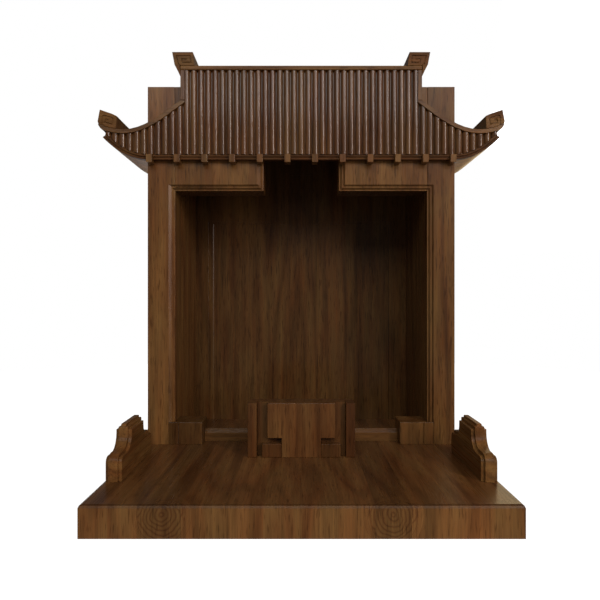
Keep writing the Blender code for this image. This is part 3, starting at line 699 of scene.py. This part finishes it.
# %% Helpers for a tree of Geometry Nodes
class Shop:
    """A geometry tree with named sizes. Values are set by the inputs' identifiers."""

    def __init__(self, name, sizes):
        self.tree = bpy.data.node_groups.new(name, "GeometryNodeTree")
        self.tree.is_modifier = True
        face = self.tree.interface
        face.new_socket(name="Geometry", in_out="INPUT", socket_type="NodeSocketGeometry")
        self.keys = {}
        for title, value in sizes.items():
            kind = "NodeSocketInt" if isinstance(value, int) else "NodeSocketFloat"
            socket = face.new_socket(name=title, in_out="INPUT", socket_type=kind)
            socket.default_value = value
            self.keys[title] = (socket.identifier, value)
        socket = face.new_socket(name="Wood", in_out="INPUT", socket_type="NodeSocketMaterial")
        self.wood_key = socket.identifier
        face.new_socket(name="Geometry", in_out="OUTPUT", socket_type="NodeSocketGeometry")
        self.sizes = self.tree.nodes.new("NodeGroupInput").outputs
        self.end = self.tree.nodes.new("NodeGroupOutput")

    def add(self, kind, inputs=None, **settings):
        """A new node. An input may take a list, where a socket accepts more than one link."""
        node = self.tree.nodes.new(kind)
        for key, value in settings.items():
            setattr(node, key, value)
        for key, value in (inputs or {}).items():
            parts = value if isinstance(value, list) else [value]
            for part in parts:
                if isinstance(part, bpy.types.NodeSocket):
                    self.tree.links.new(part, node.inputs[key])
                else:
                    node.inputs[key].default_value = part
        return node

    def sum(self, operation, *values):
        """One step of arithmetic."""
        inputs = dict(enumerate(values))
        return self.add("ShaderNodeMath", inputs, operation=operation).outputs["Value"]

    def vector(self, **parts):
        """A vector from its named parts."""
        return self.add("ShaderNodeCombineXYZ", parts).outputs["Vector"]

    def finish(self, geometry):
        """Ends the tree with real geometry that has its wood."""
        real = self.add("GeometryNodeRealizeInstances", {"Geometry": geometry}).outputs["Geometry"]
        wood = {"Geometry": real, "Material": self.sizes["Wood"]}
        done = self.add("GeometryNodeSetMaterial", wood).outputs["Geometry"]
        self.tree.links.new(done, self.end.inputs["Geometry"])

    def run_on(self, piece, material):
        """Puts the tree on a piece and sets its inputs before it is first evaluated."""
        modifier = piece.modifiers.new(self.tree.name, "NODES")
        modifier.node_group = self.tree
        for identifier, value in self.keys.values():
            modifier[identifier] = value
        modifier[self.wood_key] = material


print("helper for geometry trees:", Shop.__name__)

# %% Set out, join and cut the reeds
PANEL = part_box("roof_front_panel")
REED_PITCH = 0.01078
REED_RADIUS = 0.00499
PLANK_WIDTH = 0.66
PLANK_BEHIND = 0.004


def flat_back(node, front):
    """The outline of a node's flat back, as a solid that reaches forward to a plane."""
    shape = clean_shape(node)
    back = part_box(node)[1][1]
    drop = [face for face in shape.faces if not all(same(v.co.y, back) for v in face.verts)]
    bmesh.ops.delete(shape, geom=drop, context="FACES")
    made = bmesh.ops.extrude_face_region(shape, geom=shape.faces[:])
    for item in made["geom"]:
        if isinstance(item, bmesh.types.BMVert):
            item.co.y = front
    bmesh.ops.recalc_face_normals(shape, faces=shape.faces)
    return as_piece(shape, node + "_reeds")


reed_sizes = {
    "Reeds": 57,
    "Pitch": REED_PITCH,
    "Radius": REED_RADIUS,
    "Length": 0.16,
    "Valley": PANEL[0][1] + REED_RADIUS,
    "Back": PANEL[1][1] + PLANK_BEHIND,
    "Middle": (PANEL[0][2] + PANEL[1][2]) / 2,
}
shop = Shop("reeded_board", reed_sizes)
size = shop.sizes
first = shop.sum("MULTIPLY_ADD", size["Reeds"], -0.5, 0.5)
start = shop.sum("MULTIPLY", first, size["Pitch"])
row = shop.add(
    "GeometryNodeMeshLine",
    {
        "Count": size["Reeds"],
        "Start Location": shop.vector(X=start, Y=size["Valley"], Z=size["Middle"]),
        "Offset": shop.vector(X=size["Pitch"]),
    },
)
round_bar = {"Vertices": 32, "Radius": size["Radius"], "Depth": size["Length"]}
reed = shop.add("GeometryNodeMeshCylinder", round_bar).outputs["Mesh"]
reeds = {"Points": row.outputs["Mesh"], "Instance": reed}
reeds = shop.add("GeometryNodeInstanceOnPoints", reeds).outputs["Instances"]
reeds = shop.add("GeometryNodeRealizeInstances", {"Geometry": reeds})
thick = shop.sum("SUBTRACT", size["Back"], size["Valley"])
half = shop.sum("MULTIPLY", shop.sum("ADD", size["Back"], size["Valley"]), 0.5)
plank_size = shop.vector(X=PLANK_WIDTH, Y=thick, Z=size["Length"])
plank = shop.add("GeometryNodeMeshCube", {"Size": plank_size}).outputs["Mesh"]
moved = {"Geometry": plank, "Translation": shop.vector(Y=half, Z=size["Middle"])}
plank = shop.add("GeometryNodeTransform", moved)
joined = shop.add(
    "GeometryNodeMeshBoolean",
    {"Mesh 2": [reeds.outputs["Geometry"], plank.outputs["Geometry"]]},
    operation="UNION",
    solver="EXACT",
)
cut = shop.add(
    "GeometryNodeMeshBoolean",
    {"Mesh 2": [joined.outputs["Mesh"], size["Geometry"]]},
    operation="INTERSECT",
    solver="EXACT",
)
shop.finish(cut.outputs["Mesh"])

reeded = flat_back("roof_front_panel", PANEL[0][1])
reed_wood = walnut("roof_front_wood", "Z", (0.07, 0.12, 2.6), 0.66, red=0.92, gloss=1.0)
shop.run_on(reeded, reed_wood)
bake_down(reeded)
hand_over(reeded, reed_wood, "roof_front_panel", curved=True)
print("faces of the reeded board:", len(reeded.data.polygons))

# %% [markdown]
# ## The rafter ends
# Twelve equal rafter ends sit under the eave at one pitch. The tree takes the first of them, with
# its place, and sets copies along a line. The rounding comes after the copying, in the same stack.

# %% Twelve rafter ends
RAFTERS = ["rafter_end_%02d" % number for number in range(1, 13)]
first_box, second_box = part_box(RAFTERS[0]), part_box(RAFTERS[1])
rafter_sizes = {"Rafters": len(RAFTERS), "Pitch": second_box[0][0] - first_box[0][0]}
shop = Shop("rafter_row", rafter_sizes)
size = shop.sizes
steps = {"Count": size["Rafters"], "Offset": shop.vector(X=size["Pitch"])}
row = shop.add("GeometryNodeMeshLine", steps).outputs["Mesh"]
copies = {"Points": row, "Instance": size["Geometry"]}
copies = shop.add("GeometryNodeInstanceOnPoints", copies)
shop.finish(copies.outputs["Instances"])

rafter_row = as_piece(clean_shape(RAFTERS[0]), "rafter_row")
rafter_wood = walnut("rafter_wood", "Z", (0.33, 0.21, 3.1), 0.95)
shop.run_on(rafter_row, rafter_wood)
round_edges(rafter_row, 0.0004)
bake_down(rafter_row)
hand_over(rafter_row, rafter_wood, *RAFTERS)
print("rafter ends:", len(RAFTERS))

# %% [markdown]
# ## The roof's border
# The bent border strips get smooth shading along the bend, and the finials and the eave a finer
# rounding. The finials' grain runs across, as it does on the strips that they stand on. The roof's
# overhanging ends are painted much paler, as a painted sheen on their undersides.

# %% Roof border, eave and finials
SIDES = (("left", -1.0), ("right", 1.0))
# The flanks' high tones are a painted sheen on the roof's undersides.
PAINTED_SHEEN_FLANKS = {"left": {"tone": 2.20, "gloss": 0.22}, "right": {"tone": 2.44, "gloss": 0.03}}
MATT = {"gloss": 0.0, "shine": 0.06}
FASCIA = {"rounding": 0.0004, "curved": True, "red": 0.9, "gloss": 0.05, "shine": 0.08}

for side, sign in SIDES:
    walnut_board("hip_border_" + side, "X", (0.1, 0.2, sign), 0.85, curved=True)
    walnut_board("roof_flank_" + side, "X", (0.3, 0.1, sign), curved=True, **PAINTED_SHEEN_FLANKS[side])
    walnut_board("gable_board_" + side, "Z", (0.1, 0.3, sign), 0.85)
    walnut_board("ridge_finial_" + side, "X", (0.4, 0.2, sign), 0.92, 0.0003, **MATT)
    walnut_board("eave_finial_" + side, "X", (0.2, 0.4, sign), 0.88, 0.0003, curved=True, **MATT)
walnut_board("ridge_board", "X", (0.05, 0.15, 1.4), 0.90, gloss=0.03, shine=0.08)
walnut_board("ridge_back_panel", "X", (0.25, 0.35, 1.8))
walnut_board("eave_fascia", "X", (0.15, 0.22, 2.2), 0.60, **FASCIA)
border = [node for node in nodes if node.startswith(("hip", "roof_flank", "gable", "ridge", "eave"))]
print("boards on the roof's border:", len(border))

# %% [markdown]
# ## The pedestal and the wings
# The pedestal's boards have upright grain. Its core is made wider by the joint's gap, so that it
# touches the sides. The wings are sawn from one board each, with the grain along their length.

# %% Pedestal and wings
PEDESTAL = {
    "core": (0.60, 0.0, close_sides),
    "front": (0.80, ROUNDING, None),
    "side_left": (0.68, ROUNDING, None),
    "side_right": (0.58, ROUNDING, None),
    "foot_left": (0.58, ROUNDING, None),
    "foot_right": (0.58, ROUNDING, None),
}
WING = {"rounding": 0.0007, "curved": True, "gloss": 0.02, "shine": 0.10}

for number, (board, (tone, rounding, reshape)) in enumerate(PEDESTAL.items()):
    slide = (0.41 + number * 0.17, 0.1, 0.4 + number * 0.3)
    walnut_board("pedestal_" + board, "Z", slide, tone, rounding, reshape, red=0.92, gloss=0.08)
for side, sign in SIDES:
    walnut_board("wing_" + side, "Y", (0.28, 0.16, sign), 1.06, **WING)
print("pedestal boards:", len(PEDESTAL))
